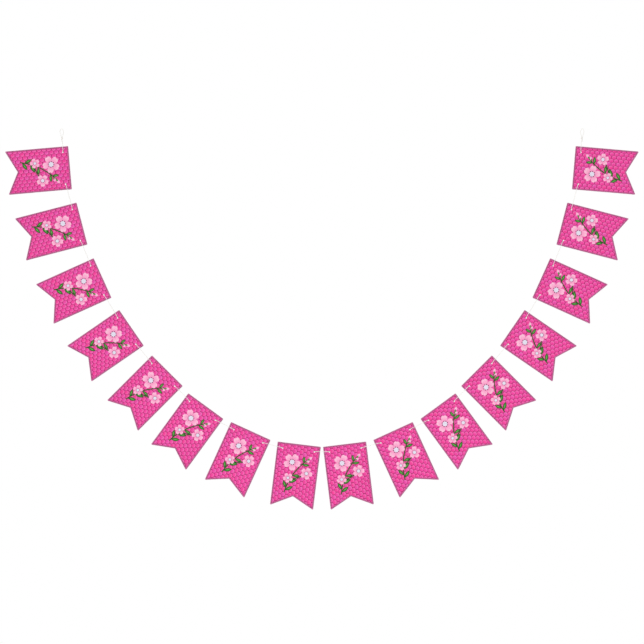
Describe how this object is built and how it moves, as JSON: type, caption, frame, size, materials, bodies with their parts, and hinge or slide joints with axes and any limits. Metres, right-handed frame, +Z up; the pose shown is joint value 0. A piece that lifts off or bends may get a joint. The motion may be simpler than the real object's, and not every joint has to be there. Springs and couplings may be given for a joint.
{
  "type": "bunting",
  "caption": "Hanging bunting of pink swallow-tailed cloth flags threaded on a white cord, in a deep swag with a loop at each end.",
  "frame": {"origin": "where a hook carries the left-hand loop: the inner side of the top of the loop", "axes": "+X runs along the bunting to its right-hand loop, +Z is up, and the printed faces look along -Y"},
  "size_m": [2.2052, 0.014, 1.3277],
  "materials": {
    "printed_cloth": "matt printed cotton canvas",
    "cotton_cord": "matt twisted cotton"
  },
  "bodies": {
    "root": {"flag_01": "printed_cloth", "flag_02": "printed_cloth", "flag_03": "printed_cloth", "flag_04": "printed_cloth", "flag_05": "printed_cloth", "flag_06": "printed_cloth", "flag_07": "printed_cloth", "flag_08": "printed_cloth", "flag_09": "printed_cloth", "flag_10": "printed_cloth", "flag_11": "printed_cloth", "flag_12": "printed_cloth", "flag_13": "printed_cloth", "flag_14": "printed_cloth", "flag_15": "printed_cloth", "flag_16": "printed_cloth", "cord": "cotton_cord"}
  },
  "joints": []
}
